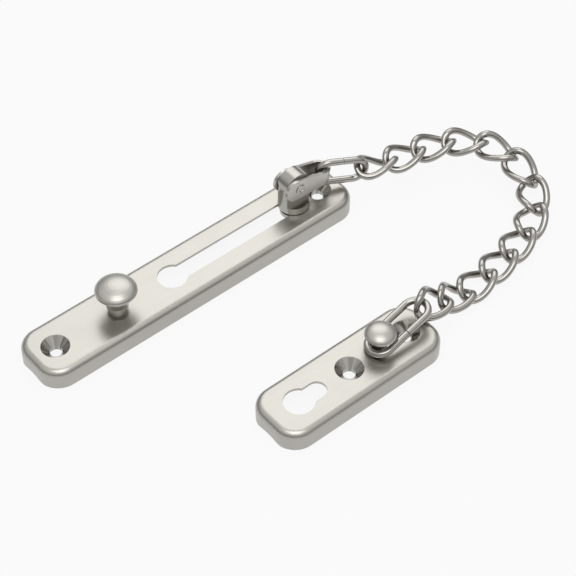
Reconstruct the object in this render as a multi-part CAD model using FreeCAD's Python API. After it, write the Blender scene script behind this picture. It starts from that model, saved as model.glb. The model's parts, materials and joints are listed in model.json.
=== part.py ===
"""Door chain guard: a slotted door plate, a swivelling slider with its shackle, a twisted-link chain
and a short frame plate that keeps the far end of the chain on a mushroom stud.

Millimetres. +X runs along the door plate towards the end where the slider rests, +Z points out of
the door. The origin is midway between the door plate's two screw holes, on the mounting face.
"""
import FreeCAD, Part
import math
import os

V = FreeCAD.Vector
UP = V(0, 0, 1)

# ---- driving dimensions -------------------------------------------------------------------------

# both plates are pressed from one sheet to one section
PLATE_WIDTH = 26.0
PLATE_HEIGHT = 8.3
SHEET = 1.2
PLATE_CORNER = 9.0          # rounding of the plate seen from the front
PLATE_SHOULDER = 2.8        # soft edge between the face and the skirt
END_ARCH = 1.2              # the skirt's ends stand this far off the door in the middle
END_ARCH_WIDTH = 13.0
SCREW_RIM = 5.5             # radius of the dimple where it leaves the face
SCREW_HOLE = 2.4            # radius of the clear hole for a 4 mm screw
SCREW_FROM_END = 10.75
SLOT_HALF = 3.8
KEYHOLE = 5.9

DOOR_PLATE_LENGTH = 147.0
KEYHOLE_X = -9.0
SLIDER_X = 50.5             # where the slider rests, at the closed end of the slot
SLOT_END_GAP = 0.3
KNOB_X = -34.5

FRAME_PLATE_LENGTH = 76.0
FRAME_KEYHOLE_FROM_END = 14.2
FRAME_KEYHOLE_RUN = 8.3     # from the round entry to the round end of the short slot
FRAME_SCREW_X = 0.0         # first screw, from the middle of the frame plate
FRAME_STUD_X = 14.6         # stud, from the middle of the frame plate
FRAME_PLATE_TURN = -5.0     # the plate lies turned this far from the end link

# mushroom knobs: heights above the face, with the shank riveted through the sheet
RIVET_SHANK = 2.2
RIVET_TAIL = 3.4
RIVET_TAIL_THICK = 0.9
KNOB_DOME = 8.0
KNOB_RIM_HEIGHT = 10.3
KNOB_CROWN = 3.6
KNOB_NECK = 3.2
KNOB_COLLAR = 4.2
KNOB_COLLAR_BASE = 1.9
KNOB_COLLAR_THICK = 1.8
STUD_DOME = 6.0
STUD_RIM_HEIGHT = 8.1
STUD_CROWN = 3.0
STUD_NECK = 2.8
RIM_LIP = 0.5

# slider
RUNNING = 0.05              # radial clearance of a turning shank in its hole
SEAT_GAP = 0.3              # clearance between faces that slide past each other
FOOT = 5.5
FOOT_THICK = 1.8
BUSH_NECK = 3.5
STUD_BODY = 6.3
STUD_COLLAR = 3.0           # height of the full round under the milled flats
TONGUE = 5.8
PIN_HEIGHT = 19.7           # shackle pin above the mounting face
PIN = 1.6
PIN_HEAD = 2.2
PIN_HEAD_THICK = 0.7
STRAP = 1.3
STRAP_GAP = 0.15
EAR_ROUND = 4.8
EAR_BACK = 1.9              # the ear's round end is centred this far behind the pin
STRAP_HALF_AT_BEND = 3.0
SHACKLE_REACH = 17.2        # pin to the outside of the bend
SHACKLE_DROOP = 10.0        # the shackle rests tipped down this far

# chain
WIRE = 2.8
LINK_HALF_LENGTH = 8.4      # curb link, middle of wire
LINK_HALF_WIDTH = 5.4
LINK_TWIST = 45.0           # each end of a curb link is turned this far about its length
LINK_SQUARENESS = 2.4       # exponent of the oval: 2 is an ellipse
LINK_CORNERS = 16
LINK_PITCH = 13.4
LINK_GAP = 0.2
LEAD_HOOK = 3.65            # middle of the lead link's wire from the inside of the strap's bend
LONG_HALF_WIDTH = 5.0       # long links at either end of the chain, middle of wire
LEAD_LINK_LENGTH = 19.8
LEAD_LINK_TURN = -24.0
LEAD_LINK_SLOPE = -7.0
END_LINK_LENGTH = 28.2
END_HOOK = 2.0              # the last joint from the middle of the end link's wire
END_LINK_PLAY = 0.45
END_LINK_LIFT = 0.9         # middle of the end link's wire above its bare rest height at the stud
END_LINK_RISE = 3.8         # from the stud to the last curb link
END_LINK_HEADING = -175.0
# the way each curb link lies, seen from above, from the slider to the frame plate
LINK_HEADINGS = (-11, -7, -19, -38, -66, -97, -126, -151, -164, -170, -173, -178, -179)
# each joint's share of the way down from over the door plate, then up again to the end link
CHAIN_FALL = (-0.1, 0.0, 0.0, 0.08, 0.35, 0.75, 0.92, 0.98, 1.0, 1.0)
CHAIN_RISE = (0.01, 0.51, 1.0)
# the links next to a long link are rolled about their length, so that it hangs square in them
LINK_ROLLS = (-15, 0, 0, 0, 0, 0, 0, 0, 0, 0, 0, -13, -32)
END_LINK_ROLL = -7.0
LINK_LYING = 3.6            # middle of a link above the surface it lies on

# ---- values worked out from them ----------------------------------------------------------------

FACE = PLATE_HEIGHT
UNDER = PLATE_HEIGHT - SHEET
SCREW_X = DOOR_PLATE_LENGTH / 2 - SCREW_FROM_END
EAR_INNER = TONGUE / 2 + STRAP_GAP
EAR_OUTER = EAR_INNER + STRAP


# ---- helpers ------------------------------------------------------------------------------------

def turned(profile, place=V(0, 0, 0)):
    """A solid of revolution about a line along Z through place; profile holds (radius, z) pairs."""
    points = [V(r, 0, z) for r, z in profile]
    face = Part.Face(Part.makePolygon(points + points[:1]))
    solid = face.revolve(V(0, 0, 0), UP, 360)
    solid.translate(place)
    return solid


def cylinder(radius, low, high, x=0.0, y=0.0):
    return Part.makeCylinder(radius, high - low, V(x, y, low))


def slot_prism(x0, x1, half, low, high):
    """An upright prism with round ends centred at x0 and x1."""
    box = Part.makeBox(x1 - x0, 2 * half, high - low, V(x0, -half, low))
    ends = [cylinder(half, low, high, x) for x in (x0, x1)]
    return box.fuse(ends).removeSplitter()


def rounded_block(length, width, height, corner):
    block = Part.makeBox(length, width, height, V(-length / 2, -width / 2, 0))
    upright = [e for e in block.Edges if abs(e.tangentAt(e.FirstParameter).z) > 0.9]
    return block.makeFillet(corner, upright)


def soften_top(solid, height, radius):
    top = [e for e in solid.Edges if abs(e.BoundBox.ZMin - height) < 1e-6]
    return solid.makeFillet(radius, top)


def in_frame(origin, along, roll=0.0):
    """The placement that puts local +X on the direction along, with local +Y level before the roll."""
    x_axis = V(along).normalize()
    y_axis = UP.cross(x_axis).normalize()
    z_axis = x_axis.cross(y_axis)
    matrix = FreeCAD.Matrix(x_axis.x, y_axis.x, z_axis.x, origin.x,
                            x_axis.y, y_axis.y, z_axis.y, origin.y,
                            x_axis.z, y_axis.z, z_axis.z, origin.z, 0, 0, 0, 1)
    return FreeCAD.Placement(matrix).multiply(FreeCAD.Placement(V(), FreeCAD.Rotation(V(1, 0, 0), roll)))


def wire_ring(corners, diameter):
    """A closed round wire: straight runs between the corners, each corner turned by a tangent arc."""
    count = len(corners)
    runs = [corners[(i + 1) % count] - corners[i] for i in range(count)]
    reach = [0.45 * min(runs[i - 1].Length, runs[i].Length) for i in range(count)]
    pieces = []
    for i in range(count):
        way_in = V(runs[i - 1]).normalize()
        way_out = V(runs[i]).normalize()
        start = corners[i] - way_in * reach[i]
        turn = way_in.getAngle(way_out)
        normal = way_in.cross(way_out).normalize()
        radius = reach[i] / math.tan(turn / 2)
        centre = start + normal.cross(way_in) * radius
        section = Part.Face(Part.Wire(Part.makeCircle(diameter / 2, start, way_in)))
        pieces.append(section.revolve(centre, normal, math.degrees(turn)))
        run_start = corners[i] + way_out * reach[i]
        run_end = corners[(i + 1) % count] - way_out * reach[(i + 1) % count]
        section = Part.Face(Part.Wire(Part.makeCircle(diameter / 2, run_start, way_out)))
        pieces.append(section.extrude(run_end - run_start))
    return pieces[0].fuse(pieces[1:])


# ---- plates -------------------------------------------------------------------------------------

def shell(length):
    """A pressed plate: rounded block with a soft shoulder, hollow from behind, ends arched."""
    outer = soften_top(rounded_block(length, PLATE_WIDTH, FACE, PLATE_CORNER), FACE, PLATE_SHOULDER)
    inner = rounded_block(length - 2 * SHEET, PLATE_WIDTH - 2 * SHEET, UNDER, PLATE_CORNER - SHEET)
    inner = soften_top(inner, UNDER, PLATE_SHOULDER - SHEET)
    body = outer.cut(inner)
    arch_radius = (END_ARCH ** 2 + (END_ARCH_WIDTH / 2) ** 2) / (2 * END_ARCH)
    arch = Part.makeCylinder(arch_radius, length + 2, V(-length / 2 - 1, 0, END_ARCH - arch_radius), V(1, 0, 0))
    mid = Part.makeBox(length - 2 * PLATE_CORNER, PLATE_WIDTH, FACE, V(PLATE_CORNER - length / 2, -PLATE_WIDTH / 2, 0))
    return body.cut(arch.cut(mid))


def with_screw_dimple(body, x):
    """Press a 90 degree countersink into the sheet at x."""
    depth = SCREW_RIM - SCREW_HOLE
    drop = SHEET * math.sqrt(2)
    lip = drop - SHEET
    dimple = turned([(SCREW_RIM, FACE), (SCREW_HOLE, FACE - depth), (SCREW_HOLE, FACE - depth - drop),
                     (SCREW_RIM + lip, UNDER), (SCREW_RIM + lip, FACE)], V(x, 0, 0))
    return body.cut(cylinder(SCREW_RIM + lip / 2, UNDER - 1, FACE + 1, x)).fuse(dimple).removeSplitter()


def with_keyhole(body, x_entry, x_end):
    """Cut a round entry and a slot that runs from it to x_end, through the sheet."""
    cutter = cylinder(KEYHOLE, UNDER - 1, FACE + 1, x_entry)
    return body.cut(cutter).cut(slot_prism(x_entry, x_end, SLOT_HALF, UNDER - 1, FACE + 1))


def rivet_hole(x):
    return cylinder(RIVET_SHANK, UNDER - 1, FACE + 1, x)


def door_plate():
    body = shell(DOOR_PLATE_LENGTH)
    for x in (-SCREW_X, SCREW_X):
        body = with_screw_dimple(body, x)
    slot_end = SLIDER_X + BUSH_NECK + SLOT_END_GAP - SLOT_HALF
    return with_keyhole(body, KEYHOLE_X, slot_end).cut(rivet_hole(KNOB_X))


def frame_plate():
    body = shell(FRAME_PLATE_LENGTH)
    for x in (FRAME_SCREW_X, FRAME_PLATE_LENGTH / 2 - SCREW_FROM_END):
        body = with_screw_dimple(body, x)
    entry = FRAME_KEYHOLE_FROM_END - FRAME_PLATE_LENGTH / 2
    return with_keyhole(body, entry, entry + FRAME_KEYHOLE_RUN).cut(rivet_hole(FRAME_STUD_X))


# ---- knobs --------------------------------------------------------------------------------------

def dome(radius, rim, crown):
    """The cap of a mushroom knob: (radius, z) points up its lip and over its crown to the axis."""
    points = [(radius - RIM_LIP, rim - RIM_LIP), (radius, rim)]
    for step in range(1, 9):
        angle = math.radians(90 * step / 9)
        points.append((radius * math.cos(angle), rim + crown * math.sin(angle)))
    return points + [(0, rim + crown)]


def riveted_tail():
    low = UNDER - RIVET_TAIL_THICK
    return [(0, low), (RIVET_TAIL - 0.4, low), (RIVET_TAIL, UNDER - 0.4), (RIVET_TAIL, UNDER),
            (RIVET_SHANK, UNDER), (RIVET_SHANK, FACE)]


def parking_knob():
    collar = FACE + KNOB_COLLAR_BASE
    top = collar + KNOB_COLLAR_THICK
    rim = FACE + KNOB_RIM_HEIGHT
    profile = riveted_tail() + [(KNOB_NECK, FACE), (KNOB_NECK, collar), (KNOB_COLLAR, collar + 0.3),
                                (KNOB_COLLAR, top - 0.3), (KNOB_NECK, top), (KNOB_NECK, top + 1.4)]
    profile += [(KNOB_DOME - 2.6, rim - 1.4)] + dome(KNOB_DOME, rim, KNOB_CROWN)
    return turned(profile, V(KNOB_X, 0, 0))


def frame_stud():
    rim = FACE + STUD_RIM_HEIGHT
    profile = riveted_tail() + [(STUD_NECK, FACE), (STUD_NECK, rim - 2.6), (STUD_DOME - 1.6, rim - 1.1)]
    profile += dome(STUD_DOME, rim, STUD_CROWN)
    return turned(profile, V(FRAME_STUD_X, 0, 0))


# ---- slider -------------------------------------------------------------------------------------

def slider_bush():
    """The flange under the plate, with the neck that fills the slot and the bore the stud turns in."""
    flange_top = UNDER - SEAT_GAP
    bore = RIVET_SHANK + RUNNING
    profile = [(bore, flange_top - FOOT_THICK), (FOOT, flange_top - FOOT_THICK), (FOOT, flange_top),
               (BUSH_NECK, flange_top), (BUSH_NECK, FACE + SEAT_GAP / 2), (bore, FACE + SEAT_GAP / 2)]
    return turned(profile, V(SLIDER_X, 0, 0))


def slider_stud():
    """Turned stud: peened tail, shank, full round collar, then a tongue with a drum top."""
    low = UNDER - SEAT_GAP - FOOT_THICK - SEAT_GAP / 2
    base = FACE + SEAT_GAP
    tail = turned([(0, low - RIVET_TAIL_THICK), (RIVET_TAIL, low - RIVET_TAIL_THICK), (RIVET_TAIL, low),
                   (RIVET_SHANK, low), (RIVET_SHANK, base + 0.5), (0, base + 0.5)])
    body = cylinder(STUD_BODY, base, PIN_HEIGHT + STUD_BODY)
    ledge = base + STUD_COLLAR
    tall = PIN_HEIGHT - base
    drum = Part.makeCylinder(STUD_BODY, 2 * STUD_BODY, V(0, -STUD_BODY, PIN_HEIGHT), V(0, 1, 0))
    outline = Part.makeBox(2 * STUD_BODY, 2 * STUD_BODY, tall, V(-STUD_BODY, -STUD_BODY, base)).fuse(drum)
    body = body.common(outline)
    for side in (1, -1):
        milled = Part.makeBox(4 * STUD_BODY, STUD_BODY, 2 * tall,
                              V(-2 * STUD_BODY, TONGUE / 2 if side > 0 else -TONGUE / 2 - STUD_BODY, ledge))
        body = body.cut(milled)
    bore = Part.makeCylinder(PIN + RUNNING, 2 * STUD_BODY, V(0, -STUD_BODY, PIN_HEIGHT), V(0, 1, 0))
    solid = body.fuse(tail).cut(bore).removeSplitter()
    solid.translate(V(SLIDER_X, 0, 0))
    return solid


def shackle_place():
    """Shackle frame: origin on the pin, +X towards the bend, tipped down by the droop."""
    return FreeCAD.Placement(V(SLIDER_X, 0, PIN_HEIGHT), FreeCAD.Rotation(V(0, 1, 0), SHACKLE_DROOP))


def shackle():
    """A strap bent to a U around the tongue, with round ears; its side outline narrows to the bend."""
    bend_x = SHACKLE_REACH - EAR_OUTER
    back = -EAR_BACK - EAR_ROUND
    tall = 2 * EAR_ROUND
    layers = []
    for half in (EAR_OUTER, EAR_INNER):
        box = Part.makeBox(bend_x - back, 2 * half, tall, V(back, -half, -EAR_ROUND))
        layers.append(box.fuse(cylinder(half, -EAR_ROUND, EAR_ROUND, bend_x)))
    u_strap = layers[0].cut(layers[1])
    points = [V(-EAR_BACK, 0, EAR_ROUND), V(EAR_BACK, 0, EAR_ROUND - 0.4), V(bend_x, 0, STRAP_HALF_AT_BEND),
              V(SHACKLE_REACH + 1, 0, STRAP_HALF_AT_BEND)]
    points += [V(p.x, 0, -p.z) for p in reversed(points)]
    side = Part.Face(Part.makePolygon(points + points[:1])).extrude(V(0, 2 * EAR_OUTER, 0))
    side.translate(V(0, -EAR_OUTER, 0))
    ear = Part.makeCylinder(EAR_ROUND, 2 * EAR_OUTER, V(-EAR_BACK, -EAR_OUTER, 0), V(0, 1, 0))
    hole = Part.makeCylinder(PIN, 2 * EAR_OUTER, V(0, -EAR_OUTER, 0), V(0, 1, 0))
    solid = u_strap.common(side.fuse(ear)).cut(hole).removeSplitter()
    solid.Placement = shackle_place()
    return solid


def shackle_rivet():
    half = EAR_OUTER
    head = half + PIN_HEAD_THICK
    profile = [(0, -head), (PIN_HEAD - 0.4, -head), (PIN_HEAD, 0.35 - head), (PIN_HEAD, -half), (PIN, -half)]
    profile += [(r, -z) for r, z in reversed(profile)]
    solid = turned(profile)
    place = shackle_place().multiply(FreeCAD.Placement(V(), FreeCAD.Rotation(V(1, 0, 0), 90)))
    solid.Placement = place
    return solid


# ---- chain --------------------------------------------------------------------------------------

def long_link(length):
    """A long link, flat in its own XY plane and centred on its origin."""
    radius = LONG_HALF_WIDTH
    straight = length / 2 - radius
    section = Part.Face(Part.Wire(Part.makeCircle(WIRE / 2, V(straight, -radius, 0), V(1, 0, 0))))
    pieces = [section.revolve(V(straight, 0, 0), UP, 180)]
    section = Part.Face(Part.Wire(Part.makeCircle(WIRE / 2, V(-straight, radius, 0), V(-1, 0, 0))))
    pieces.append(section.revolve(V(-straight, 0, 0), UP, 180))
    for y in (radius, -radius):
        pieces.append(Part.makeCylinder(WIRE / 2, 2 * straight, V(-straight, y, 0), V(1, 0, 0)))
    return pieces[0].fuse(pieces[1:])


def curb_link():
    """A twisted link centred on its origin with its length on X; the twist grows along the length."""
    corners = []
    power = 2 / LINK_SQUARENESS
    for i in range(LINK_CORNERS):
        angle = math.radians(360 * (i + 0.5) / LINK_CORNERS)
        cos, sin = math.cos(angle), math.sin(angle)
        along = LINK_HALF_LENGTH * math.copysign(abs(cos) ** power, cos)
        across = LINK_HALF_WIDTH * math.copysign(abs(sin) ** power, sin)
        roll = math.radians(-LINK_TWIST * along / LINK_HALF_LENGTH)
        corners.append(V(along, across * math.cos(roll), across * math.sin(roll)))
    return wire_ring(corners, WIRE)


def lead_link_ends():
    """Middle of the lead link's wire inside the shackle's bend, and at its far end."""
    inside = SHACKLE_REACH - STRAP - LEAD_HOOK
    start = shackle_place().multVec(V(inside, 0, 0))
    turn, slope = math.radians(LEAD_LINK_TURN), math.radians(LEAD_LINK_SLOPE)
    way = V(math.cos(slope) * math.cos(turn), math.cos(slope) * math.sin(turn), math.sin(slope))
    return start, start + way * LEAD_LINK_LENGTH


def pivot_height():
    return FACE + WIRE / 2 + SEAT_GAP + END_LINK_LIFT


def link_heights():
    """Height of each joint of the chain: clear of the plate first, then down to lie, then up to the stud."""
    over = FACE + LINK_LYING + SEAT_GAP
    last = pivot_height() + END_LINK_RISE
    falling = [over + (LINK_LYING - over) * share for share in CHAIN_FALL]
    return falling + [LINK_LYING + (last - LINK_LYING) * share for share in CHAIN_RISE]


def chain_joints():
    """The points where one link hangs in the next, from the lead link to the end link."""
    start, far = lead_link_ends()
    way = (far - start).normalize()
    joint = far - way * (WIRE + LINK_GAP) / 2
    joints = [joint]
    for heading, height in zip(LINK_HEADINGS, link_heights()):
        rise = height - joint.z
        level = math.sqrt(LINK_PITCH ** 2 - rise ** 2)
        angle = math.radians(heading)
        joint = joint + V(level * math.cos(angle), level * math.sin(angle), rise)
        joints.append(joint)
    return joints


def end_link_ends():
    """The chain's last joint, and the point on the frame stud's axis that the end link turns about."""
    joint = chain_joints()[-1]
    reach = END_LINK_LENGTH - END_HOOK - LONG_HALF_WIDTH + END_LINK_PLAY
    drop = joint.z - pivot_height()
    level = math.sqrt(reach ** 2 - drop ** 2)
    angle = math.radians(END_LINK_HEADING)
    return joint, joint + V(level * math.cos(angle), level * math.sin(angle), -drop)


def frame_plate_place():
    pivot = end_link_ends()[1]
    turn = END_LINK_HEADING + 180 + FRAME_PLATE_TURN
    place = FreeCAD.Placement(V(pivot.x, pivot.y, 0), FreeCAD.Rotation(UP, turn))
    return place.multiply(FreeCAD.Placement(V(-FRAME_STUD_X, 0, 0), FreeCAD.Rotation()))


def placed(solid, placement):
    moved = solid.copy()
    moved.Placement = placement.multiply(moved.Placement)
    return moved


def chain_parts():
    """Every link of the chain by name, in order."""
    start, far = lead_link_ends()
    parts = {"lead_link": placed(long_link(LEAD_LINK_LENGTH), in_frame((start + far) / 2, far - start, 90))}
    pattern = curb_link()
    joints = chain_joints()
    for i in range(len(joints) - 1):
        middle = (joints[i] + joints[i + 1]) / 2
        place = in_frame(middle, joints[i + 1] - joints[i], LINK_ROLLS[i])
        parts["chain_link_%02d" % (i + 1)] = placed(pattern, place)
    joint, pivot = end_link_ends()
    way = (joint - pivot).normalize()
    middle = joint + way * (END_HOOK - END_LINK_LENGTH / 2)
    parts["end_link"] = placed(long_link(END_LINK_LENGTH), in_frame(middle, way, END_LINK_ROLL))
    return parts


# ---- build --------------------------------------------------------------------------------------

def build():
    parts = {"door_plate": door_plate(), "parking_knob": parking_knob(), "slider_bush": slider_bush(),
             "slider_stud": slider_stud(), "shackle": shackle(), "shackle_rivet": shackle_rivet()}
    parts.update(chain_parts())
    parts["frame_plate"] = placed(frame_plate(), frame_plate_place())
    parts["frame_stud"] = placed(frame_stud(), frame_plate_place())
    return parts


os.makedirs("parts", exist_ok=True)
for node, solid in build().items():
    if len(solid.Solids) != 1 or not solid.isValid():
        raise ValueError("%s is not one valid solid" % node)
    solid.Solids[0].exportStep("parts/%s.step" % node)
    print("%-14s %9.1f mm3  %s" % (node, solid.Volume, solid.BoundBox))
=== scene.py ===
# %% [markdown]
# # A door chain guard in satin and polished steel
# The guard is a slotted plate for the door, a slider with a strap shackle, a chain of twisted links
# and a short plate with a mushroom stud for the door frame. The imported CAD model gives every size
# and place. This lesson gives it its looks: the plates keep their CAD shape and get a brushed
# finish, the turned pieces keep theirs and get rings about their own axes, and the links are
# swept again by Geometry Nodes along the joints of the chain.

# %% Load the fixed frame
import json
import math

import bpy
from mathutils import Matrix, Vector


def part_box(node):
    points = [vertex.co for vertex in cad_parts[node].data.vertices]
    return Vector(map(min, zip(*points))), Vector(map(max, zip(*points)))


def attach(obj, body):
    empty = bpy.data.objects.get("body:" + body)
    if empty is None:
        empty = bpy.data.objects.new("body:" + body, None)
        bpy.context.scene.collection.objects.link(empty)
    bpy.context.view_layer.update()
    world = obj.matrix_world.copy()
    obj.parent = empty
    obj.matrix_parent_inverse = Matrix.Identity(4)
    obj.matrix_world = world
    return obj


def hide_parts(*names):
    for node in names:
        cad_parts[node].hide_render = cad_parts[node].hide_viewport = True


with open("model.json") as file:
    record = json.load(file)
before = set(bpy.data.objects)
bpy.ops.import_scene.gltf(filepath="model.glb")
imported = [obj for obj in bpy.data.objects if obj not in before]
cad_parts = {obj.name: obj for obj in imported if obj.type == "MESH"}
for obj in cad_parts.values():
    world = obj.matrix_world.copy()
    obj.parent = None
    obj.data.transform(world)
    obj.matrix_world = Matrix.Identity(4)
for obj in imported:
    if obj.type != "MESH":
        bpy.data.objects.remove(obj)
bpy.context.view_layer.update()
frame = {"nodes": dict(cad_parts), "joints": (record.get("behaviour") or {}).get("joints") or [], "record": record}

MM = 0.001
joints = {joint["name"]: joint for joint in frame["joints"]}

# %% [markdown]
# ## Sums written as sums
# A finish is a small graph of nodes, and most of those nodes are arithmetic. The class below wraps
# an output socket, so that `1 - mask` or `streaks * 0.3` adds the Math nodes by itself. The same
# class serves the Geometry Nodes trees further on, because both kinds of tree hold Math nodes.


# %% A socket that does sums
class Sum:
    """An output socket of a node tree that can be added, multiplied and compared."""

    def __init__(self, tree, socket):
        self.tree, self.socket = tree, socket

    def math(self, operation, *values):
        node = self.tree.nodes.new("ShaderNodeMath")
        node.operation = operation
        for slot, value in zip(node.inputs, values):
            plug(self.tree, slot, value)
        return Sum(self.tree, node.outputs[0])

    def __add__(self, other):
        return self.math("ADD", self, other)

    def __radd__(self, other):
        return self.math("ADD", other, self)

    def __sub__(self, other):
        return self.math("SUBTRACT", self, other)

    def __rsub__(self, other):
        return self.math("SUBTRACT", other, self)

    def __mul__(self, other):
        return self.math("MULTIPLY", self, other)

    def __rmul__(self, other):
        return self.math("MULTIPLY", other, self)

    def __truediv__(self, other):
        return self.math("DIVIDE", self, other)

    def __rtruediv__(self, other):
        return self.math("DIVIDE", other, self)

    def __pow__(self, other):
        return self.math("POWER", self, other)

    def __lt__(self, other):
        return self.math("LESS_THAN", self, other)

    def abs(self):
        return self.math("ABSOLUTE", self)

    def sign(self):
        return self.math("SIGN", self)

    def within(self, limit):
        return self.math("MAXIMUM", self.math("MINIMUM", self, limit), limit * -1.0)

    def clamp(self, low=0.0, high=1.0):
        return self.math("MINIMUM", self.math("MAXIMUM", self, low), high)


def plug(tree, slot, value):
    """Give a socket a link if the value is a Sum, and a plain setting otherwise."""
    if isinstance(value, Sum):
        tree.links.new(value.socket, slot)
    else:
        slot.default_value = value


# %% [markdown]
# ## One way to add any other node
# Noise, Bump and the rest take settings first and sockets second. One helper does both, and
# returns each output wrapped, so a noise can go straight into a sum.


# %% A workbench for node trees
class Bench:
    """Adds nodes to one tree."""

    def __init__(self, tree):
        self.tree = tree

    def node(self, kind, settings=None, output=0, **sockets):
        node = self.tree.nodes.new(kind)
        for name, value in (settings or {}).items():
            setattr(node, name, value)
        for name, value in sockets.items():
            by_index = name[0] == "i" and name[1:].isdigit()
            slot = node.inputs[int(name[1:]) if by_index else name.replace("_", " ")]
            plug(self.tree, slot, value)
        return Sum(self.tree, node.outputs[output])

    def vector(self, x, y, z):
        return self.node("ShaderNodeCombineXYZ", X=x, Y=y, Z=z)

    def split(self, vector):
        node = self.tree.nodes.new("ShaderNodeSeparateXYZ")
        plug(self.tree, node.inputs[0], vector)
        return [Sum(self.tree, socket) for socket in node.outputs]

    def noise(self, vector, scale, detail=2.0, roughness=0.5):
        return self.node("ShaderNodeTexNoise", Vector=vector, Scale=scale, Detail=detail, Roughness=roughness)

    def mix(self, factor, a, b):
        node = self.tree.nodes.new("ShaderNodeMix")
        node.data_type = "RGBA"
        plug(self.tree, node.inputs["Factor"], factor)
        for slot, value in zip([s for s in node.inputs if s.type == "RGBA"], (a, b)):
            plug(self.tree, slot, value)
        return Sum(self.tree, [s for s in node.outputs if s.type == "RGBA"][0])


def finish_named(name, colour, roughness, metal=1.0):
    """A new material with its bench and its shader; what varies is plugged in afterwards."""
    material = bpy.data.materials.new(name)
    material.use_nodes = True
    tree = material.node_tree
    shader = next(n for n in tree.nodes if n.type == "BSDF_PRINCIPLED")
    shader.inputs["Metallic"].default_value = metal
    shader.inputs["Base Color"].default_value = (*colour, 1.0)
    shader.inputs["Roughness"].default_value = roughness
    material.diffuse_color = (*colour, 1.0)
    return material, Bench(tree), shader


# %% [markdown]
# ## Brushed plate steel
# The plates are rolled stainless sheet, brushed lengthways and then lightly polished. The brush
# leaves streaks that are very long along the plate and very fine across it, so the noise is read
# from Object coordinates stretched that way. The countersinks are pressed with a polished punch:
# inside their rims the streaks stop and the steel is polished, with faint spokes down the cone, and
# between the spokes a near-black painted reflection is laid into the colour.

# %% Plate finish
STEEL = (0.49, 0.475, 0.44)
SHADE = (0.42, 0.405, 0.375)
# near-black painted into the countersinks between their spokes: a painted reflection, not the steel's colour
PAINTED_REFLECTION_DARK = (0.12, 0.115, 0.11)
DIMPLE_RADIUS = 5.3 * MM


def spot(bench, x, y, centre):
    """Distance from an upright axis through centre."""
    dx, dy = x - centre[0], y - centre[1]
    return (dx * dx + dy * dy) ** 0.5


def brushed_plate(name, dimples):
    material, bench, shader = finish_named(name, STEEL, 0.3)
    place = bench.node("ShaderNodeTexCoord", output=3)
    x, y, z = bench.split(place)
    streaks = bench.noise(bench.vector(x * 35.0, y * 2600.0, z * 2600.0), 1.0, 3.0, 0.6)
    bands = bench.noise(bench.vector(x * 14.0, y * 420.0, z * 420.0), 1.0, 2.0, 0.5)
    cloud = bench.noise(place, 90.0, 2.0, 0.5)
    cone = None
    spokes = None
    for centre in dimples:
        inside = spot(bench, x, y, centre) < DIMPLE_RADIUS
        angle = (y - centre[1]).math("ARCTAN2", y - centre[1], x - centre[0])
        wave = bench.noise(bench.vector(angle * 2.6, centre[0] * 50.0, 0.0), 1.0, 1.0, 0.5) * inside
        cone = inside if cone is None else cone + inside
        spokes = wave if spokes is None else spokes + wave
    flat = 1.0 - cone
    colour = bench.mix((cloud * 0.5 + bands * 0.5 - 0.2).clamp(), (*SHADE, 1.0), (*STEEL, 1.0))
    # inside the cones, between the spokes, the colour is pulled towards near-black as a painted reflection of dark
    # surroundings
    painted_reflection_mask = cone * (1.9 - spokes * 3.4).clamp() * 0.85
    colour = bench.mix(painted_reflection_mask, colour, (*PAINTED_REFLECTION_DARK, 1.0))
    plug(bench.tree, shader.inputs["Base Color"], colour)
    rough = (0.25 + streaks * 0.1 + bands * 0.05) * flat + (0.10 + spokes * 0.14) * cone
    plug(bench.tree, shader.inputs["Roughness"], rough)
    height = (streaks * 0.7 + bands * 0.3) * flat
    bump = bench.node("ShaderNodeBump", Strength=0.16, Distance=0.00002, Height=height)
    plug(bench.tree, shader.inputs["Normal"], bump)
    return material


door_screws = [(x * MM, 0.0) for x in (-62.75, 62.75)]
mounts = {mount["name"]: mount for mount in frame["record"]["mounts"]}
frame_middle = mounts["frame_plate_screws"]["pos_m"]
frame_half = mounts["frame_plate_screws"]["dims"]["spacing_x_mm"] * MM / 2
frame_screws = [(frame_middle[0] + side * frame_half, frame_middle[1]) for side in (-1, 1)]
plate_finishes = {
    "door_plate": brushed_plate("door plate steel", door_screws),
    "frame_plate": brushed_plate("frame plate steel", frame_screws),
}
print("dimples at", door_screws + frame_screws)

# %% [markdown]
# ## Turned and polished steel
# The knobs, the slider and the rivet come off a lathe, so their marks are rings about the axis.
# The links are tumbled until bright, which leaves a soft, uneven polish. The strap is cut from
# sheet and only lightly tumbled, so it stays duller.


# %% Turned finish
def turned_finish(name, axis, roughness, colour=STEEL, ring=0.12, along="z"):
    """Rings about an upright axis, or about one along y for the shackle's rivet."""
    material, bench, shader = finish_named(name, colour, roughness)
    place = bench.node("ShaderNodeTexCoord", output=3)
    x, y, z = bench.split(place)
    across, level = (y, z) if along == "z" else (z, y)
    out = spot(bench, x, across, axis)
    rings = bench.noise(bench.vector(out * 9000.0, level * 9000.0, 0.0), 1.0, 2.0, 0.6)
    cloud = bench.noise(place, 160.0, 2.0, 0.5)
    plug(bench.tree, shader.inputs["Roughness"], roughness - 0.04 + rings * ring + cloud * 0.05)
    bump = bench.node("ShaderNodeBump", Strength=0.08, Distance=0.00001, Height=rings)
    plug(bench.tree, shader.inputs["Normal"], bump)
    return material


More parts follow.
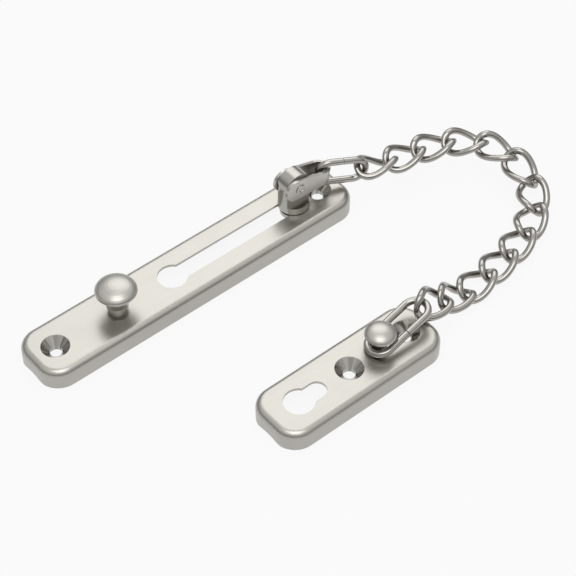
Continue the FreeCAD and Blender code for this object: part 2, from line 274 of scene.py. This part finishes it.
def tumbled_finish(name, colour, roughness, dent, scale=300.0):
    """A tumbled polish: bright, with a faint unevenness and duller hollows."""
    material, bench, shader = finish_named(name, colour, roughness)
    place = bench.node("ShaderNodeTexCoord", output=3)
    waves = bench.noise(place, scale, 2.0, 0.5)
    grain = bench.noise(place, scale * 6.0, 2.0, 0.6)
    tone = bench.mix((waves * 1.4 - 0.2).clamp(), (*[c * 0.9 for c in colour], 1.0), (*colour, 1.0))
    plug(bench.tree, shader.inputs["Base Color"], tone)
    plug(bench.tree, shader.inputs["Roughness"], roughness + grain * 0.08 + waves * 0.06)
    bump = bench.node("ShaderNodeBump", Strength=dent, Distance=0.00005, Height=waves + grain * 0.2)
    plug(bench.tree, shader.inputs["Normal"], bump)
    return material


def middle(node):
    low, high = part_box(node)
    return (low + high) / 2


knob_axis = middle("parking_knob")
stud_axis = middle("frame_stud")
slider_axis = middle("slider_bush")
rivet_axis = middle("shackle_rivet")
knob_finish = turned_finish("knob steel", (knob_axis.x, knob_axis.y), 0.34, (0.46, 0.45, 0.415), 0.05)
stud_finish = turned_finish("frame stud steel", (stud_axis.x, stud_axis.y), 0.34, (0.46, 0.45, 0.415), 0.05)
slider_finish = turned_finish("slider steel", (slider_axis.x, slider_axis.y), 0.2, (0.40, 0.39, 0.36))
rivet_finish = turned_finish("rivet steel", (rivet_axis.x, rivet_axis.z), 0.12, (0.50, 0.485, 0.455), 0.06, "y")
strap_finish = tumbled_finish("strap steel", (0.52, 0.505, 0.475), 0.24, 0.10, 420.0)
link_finish = tumbled_finish("link steel", (0.39, 0.375, 0.35), 0.10, 0.04)
long_link_finish = tumbled_finish("long link steel", (0.41, 0.395, 0.37), 0.11, 0.04)
print("finishes:", len(bpy.data.materials))

# %% Give the CAD pieces that stay their finishes
kept = {
    "door_plate": plate_finishes["door_plate"],
    "frame_plate": plate_finishes["frame_plate"],
    "slider_bush": slider_finish,
    "slider_stud": slider_finish,
    "shackle": strap_finish,
    "parking_knob": knob_finish,
    "frame_stud": stud_finish,
}
for node, finish in kept.items():
    mesh = frame["nodes"][node].data
    mesh.materials.clear()
    mesh.materials.append(finish)

# %% [markdown]
# ## The shackle's rivet
# The rivet is a hollow pin whose ends are split and rolled outwards over the ears, which leaves a
# ring of small petals round a dark dish. Its outline is a list of radii and heights, spun about the
# pin's axis. The height of the rolled rim swells and sinks six times round, so the petals are real
# shape and not paint.

# %% Spin the rivet with its petals
rivet_low, rivet_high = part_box("shackle_rivet")
head_radius = (rivet_high.x - rivet_low.x) / 2
half_pin = (rivet_high.y - rivet_low.y) / 2
# share of the head's radius, depth below the head's top in mm, and how much of a petal it takes
outline = [(0.0, 0.95, 0.0), (0.24, 0.92, 0.0), (0.38, 0.62, 0.25), (0.46, 0.30, 0.6), (0.54, 0.08, 1.0),
           (0.62, 0.0, 1.0), (0.74, 0.02, 1.0), (0.86, 0.12, 0.8), (0.95, 0.28, 0.4), (1.0, 0.46, 0.0),
           (0.99, 0.66, 0.0), (0.727, 0.70, 0.0)]
petals, petal_depth, around = 6, 0.24, 72
rings = [(1.0, *point) for point in outline] + [(-1.0, *point) for point in reversed(outline)]
corners, faces = [], []
for side, share, depth, petal in rings:
    for step in range(around):
        angle = 2 * math.pi * step / around
        sunk = depth + petal * petal_depth * (0.5 - 0.5 * math.cos(petals * angle))
        radius = max(share, 0.002) * head_radius
        corners.append((rivet_axis.x + radius * math.cos(angle), rivet_axis.y + side * (half_pin - sunk * MM),
                        rivet_axis.z + radius * math.sin(angle)))
for row in range(len(rings) - 1):
    for step in range(around):
        a, b = row * around + step, row * around + (step + 1) % around
        faces.append((a, b, b + around, a + around))
faces.append(tuple(reversed(range(around))))
faces.append(tuple((len(rings) - 1) * around + step for step in range(around)))
rivet_mesh = bpy.data.meshes.new("petalled_rivet")
rivet_mesh.from_pydata(corners, [], faces)
for polygon in rivet_mesh.polygons:
    polygon.use_smooth = len(polygon.vertices) == 4
rivet_mesh.materials.append(rivet_finish)
rivet = bpy.data.objects.new("petalled_rivet", rivet_mesh)
bpy.context.scene.collection.objects.link(rivet)
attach(rivet, "shackle")
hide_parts("shackle_rivet")
print("rivet faces:", len(faces))

# %% [markdown]
# ## The chain as a path
# Each link hangs in the next at a joint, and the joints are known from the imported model. They make
# a path with one edge per link. A Geometry Nodes tree picks one edge, draws the twisted oval of the
# wire, sweeps a slightly flattened profile round it and lays the link along the edge. Moving a
# finished link by hand thirteen times would give the same picture, but not one that follows the
# chain when its joints change.


# %% The links' sizes, as in the CAD model
WIRE = 2.8 * MM
LEAD_LINK_LENGTH = 19.8 * MM
END_LINK_LENGTH = 28.2 * MM
LONG_HALF_WIDTH = 5.0 * MM
END_HOOK = 2.0 * MM
BUTT_GAP = 0.34 * MM


# %% A geometry tree with named inputs
def geometry_tree(name, inputs):
    """A new tree with a geometry input, the named inputs and a geometry output."""
    tree = bpy.data.node_groups.new(name, "GeometryNodeTree")
    tree.interface.new_socket("Path", in_out="INPUT", socket_type="NodeSocketGeometry")
    for label, kind in inputs.items():
        tree.interface.new_socket(label, in_out="INPUT", socket_type=kind)
    tree.interface.new_socket("Piece", in_out="OUTPUT", socket_type="NodeSocketGeometry")
    entry = tree.nodes.new("NodeGroupInput")
    leave = tree.nodes.new("NodeGroupOutput")
    sockets = {s.name: Sum(tree, s) for s in entry.outputs if s.name}
    return tree, Bench(tree), sockets, leave


def wire_profile(bench, wire, flat):
    """The wire's section: a circle with its sides pressed slightly flat by tumbling and drawing."""
    circle = bench.node("GeometryNodeCurvePrimitiveCircle", Resolution=28, Radius=wire / 2)
    place = bench.node("GeometryNodeInputPosition")
    x, y, z = bench.split(place)
    limit = wire / 2 * (1.0 - flat)
    pressed = bench.vector(x.within(limit), y.within(limit), z)
    return bench.node("GeometryNodeSetPosition", Geometry=circle, Position=pressed)


def laid_on_edge(bench, given, swept):
    """Lay a link with its length on X along one edge of the path, roll it and give it its steel."""
    ends = []
    where = bench.node("GeometryNodeInputPosition")
    for step in (0, 1):
        index = given["Link"] + float(step)
        ends.append(bench.node("GeometryNodeSampleIndex", {"data_type": "FLOAT_VECTOR"}, Geometry=given["Path"],
                               Value=where, Index=index))
    way = bench.node("ShaderNodeVectorMath", {"operation": "SUBTRACT"}, i0=ends[1], i1=ends[0])
    level = bench.node("ShaderNodeVectorMath", {"operation": "CROSS_PRODUCT"}, i0=(0, 0, 1), i1=way)
    lie = bench.node("FunctionNodeAxesToRotation", {"primary_axis": "X", "secondary_axis": "Y"},
                     i0=way, i1=level)
    own = bench.node("FunctionNodeAxisAngleToRotation", Axis=(1, 0, 0), Angle=given["Roll"])
    lie = bench.node("FunctionNodeRotateRotation", {"rotation_space": "LOCAL"}, i0=lie, i1=own)
    both = bench.node("ShaderNodeVectorMath", {"operation": "ADD"}, i0=ends[0], i1=ends[1])
    centre = bench.node("ShaderNodeVectorMath", {"operation": "SCALE"}, i0=both, Scale=0.5)
    laid = bench.node("GeometryNodeTransform", Geometry=swept, Translation=centre, Rotation=lie)
    real = bench.node("GeometryNodeRealizeInstances", Geometry=laid)
    return bench.node("GeometryNodeSetMaterial", Geometry=real, Material=given["Steel"])


# %% The twisted link's tree
def twisted_link_tree():
    inputs = {"Link": "NodeSocketInt", "Roll": "NodeSocketFloat", "Half length": "NodeSocketFloat",
              "Half width": "NodeSocketFloat", "Twist": "NodeSocketFloat", "Squareness": "NodeSocketFloat",
              "Wire": "NodeSocketFloat", "Flat": "NodeSocketFloat", "Steel": "NodeSocketMaterial"}
    tree, bench, given, leave = geometry_tree("twisted link", inputs)
    loop = bench.node("GeometryNodeCurvePrimitiveCircle", Resolution=112, Radius=1.0)
    place = bench.node("GeometryNodeInputPosition")
    cos, sin, _ = bench.split(place)
    power = 2.0 / given["Squareness"]
    along = given["Half length"] * cos.sign() * (cos.abs() ** power)
    across = given["Half width"] * sin.sign() * (sin.abs() ** power)
    roll = given["Twist"] * along / given["Half length"] * -1.0
    turn_cos = roll.math("COSINE", roll)
    turn_sin = roll.math("SINE", roll)
    oval = bench.node("GeometryNodeSetPosition", Geometry=loop,
                      Position=bench.vector(along, across * turn_cos, across * turn_sin))
    normal = bench.vector(0.0, turn_sin * -1.0, turn_cos)
    oval = bench.node("GeometryNodeSetCurveNormal", {"mode": "FREE"}, Curve=oval, Normal=normal)
    swept = bench.node("GeometryNodeCurveToMesh", Curve=oval,
                       Profile_Curve=wire_profile(bench, given["Wire"], given["Flat"]))
    dressed = laid_on_edge(bench, given, swept)
    tree.links.new(dressed.socket, leave.inputs[0])
    return tree


link_tree = twisted_link_tree()
print("tree nodes:", len(link_tree.nodes))


# %% Run a tree and keep the plain mesh
def grown(tree, path, name, body, slot, replaced, **values):
    """Evaluate the tree on the path with the given inputs, and ride the plain mesh on its body."""
    host = bpy.data.objects.new(name, path)
    bpy.context.scene.collection.objects.link(host)
    modifier = host.modifiers.new("grow", "NODES")
    modifier.node_group = tree
    sockets = {i.name: i.identifier for i in tree.interface.items_tree if i.in_out == "INPUT"}
    for label, value in values.items():
        modifier[sockets[label.replace("_", " ")]] = value
    mesh = bpy.data.meshes.new_from_object(host.evaluated_get(bpy.context.evaluated_depsgraph_get()))
    host.modifiers.remove(modifier)
    host.data = mesh
    mesh.name = name
    for polygon in mesh.polygons:
        polygon.use_smooth = True
    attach(host, body)
    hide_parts(replaced)
    return host


# %% Lay the thirteen twisted links
joint_names = sorted(name for name in joints if name.startswith("chain_hinge_"))
chain_path = bpy.data.meshes.new("chain path")
points = [tuple(joints[name]["pos_m"]) for name in joint_names]
chain_path.from_pydata(points, [(i, i + 1) for i in range(len(points) - 1)], [])
rolls = {0: -15, 11: -13, 12: -32}
links = []
for i in range(len(points) - 1):
    node = "chain_link_%02d" % (i + 1)
    links.append(grown(link_tree, chain_path, "twisted_link_%02d" % (i + 1), node, "chain", node, Link=i,
                       Roll=math.radians(rolls.get(i, 0)), Half_length=8.4 * MM, Half_width=5.4 * MM,
                       Twist=math.radians(45), Squareness=2.4, Wire=WIRE, Flat=0.03, Steel=link_finish))
print(len(links), "links of", len(links[0].data.polygons), "faces")

# %% [markdown]
# ## The long links
# The link held by the shackle and the link round the frame stud are bent from straight wire and
# not twisted. Their ends meet in a butt joint in the middle of one leg, and the wire's sides are
# pressed a little flat. The tree draws the wire as an open arc that starts and ends at that joint,
# and shifts each half of it outwards, which makes the straight legs. Each link is laid along its
# own edge, from the middle of its wire at one end to the same at the other: the shackle's link
# starts at its hinge, and the stud's link ends the same distance past the last joint.

# %% The long link's tree
def long_link_tree():
    inputs = {"Link": "NodeSocketInt", "Roll": "NodeSocketFloat", "Length": "NodeSocketFloat",
              "Half width": "NodeSocketFloat", "Wire": "NodeSocketFloat", "Flat": "NodeSocketFloat",
              "Joint": "NodeSocketFloat", "Joint side": "NodeSocketFloat", "Steel": "NodeSocketMaterial"}
    tree, bench, given, leave = geometry_tree("long link", inputs)
    reach = 24.0
    straight = given["Length"] * 0.5 - given["Half width"]
    start = given["Joint"] * 0.5 / (straight * reach)
    loop = bench.node("GeometryNodeCurveArc", Resolution=145, Radius=1.0, Start_Angle=start + math.pi / 2,
                      Sweep_Angle=2.0 * math.pi - start * 2.0)
    cos, sin, _ = bench.split(bench.node("GeometryNodeInputPosition"))
    along = (cos * reach).clamp(-1.0, 1.0) * straight + cos * given["Half width"]
    across = sin * given["Half width"] * given["Joint side"]
    oval = bench.node("GeometryNodeSetPosition", Geometry=loop, Position=bench.vector(along, across, 0.0))
    oval = bench.node("GeometryNodeSetCurveNormal", {"mode": "FREE"}, Curve=oval, Normal=(0.0, 0.0, 1.0))
    swept = bench.node("GeometryNodeCurveToMesh", Curve=oval, Fill_Caps=True,
                       Profile_Curve=wire_profile(bench, given["Wire"], given["Flat"]))
    tree.links.new(laid_on_edge(bench, given, swept).socket, leave.inputs[0])
    return tree


long_tree = long_link_tree()

# %% Lay the two long links
lead_start = Vector(joints["lead_link_swing"]["pos_m"])
lead_end = Vector(joints["chain_hinge_01"]["pos_m"])
last_joint = Vector(joints["chain_hinge_14"]["pos_m"])
stud_point = Vector(joints["frame_stud_swivel"]["pos_m"])
end_way = (last_joint - stud_point).normalized()
end_start = last_joint + end_way * END_HOOK
lead_way = (lead_end - lead_start).normalized()
lead_middle = lead_start + lead_way * LEAD_LINK_LENGTH / 2
end_middle = end_start - end_way * END_LINK_LENGTH / 2
long_path = bpy.data.meshes.new("long path")
long_path.from_pydata([lead_middle - lead_way * MM, lead_middle + lead_way * MM,
                       end_middle - end_way * MM, end_middle + end_way * MM], [(0, 1), (2, 3)], [])
long_links = []
for name, first, length, roll, side in (("lead_link", 0, LEAD_LINK_LENGTH, 90, 1.0),
                                       ("end_link", 2, END_LINK_LENGTH, -7, -1.0)):
    long_links.append(grown(long_tree, long_path, "bent_" + name, name, "long_link", name, Link=first,
                            Roll=math.radians(roll), Length=length, Half_width=LONG_HALF_WIDTH, Wire=WIRE,
                            Flat=0.04, Joint=BUTT_GAP, Joint_side=side, Steel=long_link_finish))
print([len(link.data.polygons) for link in long_links], "faces in the long links")

# %% [markdown]
# ## The floor, the light and the camera
# The guard lies on a plain pale floor. Soft light comes from a pale dome that is brighter overhead
# than near the horizon, which is what gives the steel its darker lines, and from two large lamps.

# %% Floor
floor_mesh = bpy.data.meshes.new("floor")
floor_mesh.from_pydata([(-3, -3, 0), (3, -3, 0), (3, 3, 0), (-3, 3, 0)], [], [(0, 1, 2, 3)])
floor_mesh.transform(Matrix.Translation((0, 0, -0.0003)))
floor = bpy.data.objects.new("floor", floor_mesh)
bpy.context.scene.collection.objects.link(floor)
paper, bench, shader = finish_named("pale floor", (0.5, 0.5, 0.5), 0.9, 0.0)
rays = bench.tree.nodes.new("ShaderNodeLightPath")
white = bench.tree.nodes.new("ShaderNodeEmission")
blend = bench.tree.nodes.new("ShaderNodeMixShader")
camera_ray = Sum(bench.tree, rays.outputs["Is Camera Ray"])
glossy_ray = Sum(bench.tree, rays.outputs["Is Glossy Ray"])
clear_ray = Sum(bench.tree, rays.outputs["Is Transmission Ray"])
plug(bench.tree, blend.inputs[0], ((camera_ray + glossy_ray + clear_ray) * 0.9).clamp())
bench.tree.links.new(shader.outputs[0], blend.inputs[1])
bench.tree.links.new(white.outputs[0], blend.inputs[2])
bench.tree.links.new(blend.outputs[0], bench.tree.nodes["Material Output"].inputs["Surface"])
floor_mesh.materials.append(paper)

# %% Dome of light
world = bpy.data.worlds.new("studio")
world.use_nodes = True
bpy.context.scene.world = world
sky = Bench(world.node_tree)
direction = sky.node("ShaderNodeTexCoord", output=0)
_, _, up = sky.split(direction)
rise = ((up - 0.12) / 0.6).clamp()
glow = 0.3 + rise * rise * (3.0 - rise * 2.0) * 0.6
plug(world.node_tree, world.node_tree.nodes["Background"].inputs["Strength"], glow)
world.node_tree.nodes["Background"].inputs["Color"].default_value = (1, 1, 1, 1)


# %% Lamps
def soft_lamp(name, place, target, size, power):
    data = bpy.data.lights.new(name, "AREA")
    data.shape = "DISK"
    data.size = size
    data.energy = power
    lamp = bpy.data.objects.new(name, data)
    lamp.location = place
    lamp.rotation_euler = (Vector(target) - Vector(place)).to_track_quat("-Z", "Y").to_euler()
    bpy.context.scene.collection.objects.link(lamp)


soft_lamp("key", (-0.15, -0.25, 0.75), (0.02, -0.03, 0.0), 0.6, 1.8)
soft_lamp("fill", (0.47, 0.50, 0.74), (0.02, -0.03, 0.0), 0.9, 2.3)

# %% Camera
right = Vector((0.770, -0.638, 0.0))
back = Vector((-0.4225, -0.5102, 0.7492)).normalized()
up = back.cross(right).normalized()
right = up.cross(back)
turn = Matrix((right, up, back)).transposed()
eye = bpy.data.objects.new("camera", bpy.data.cameras.new("camera"))
eye.data.lens = 114.8
eye.data.clip_start = 0.01
eye.matrix_world = Matrix.Translation(Vector((25.46, -26.84, 0.0)) * MM + back * 701.06 * MM) @ turn.to_4x4()
bpy.context.scene.collection.objects.link(eye)
bpy.context.scene.camera = eye
bpy.context.scene.view_settings.view_transform = "Standard"
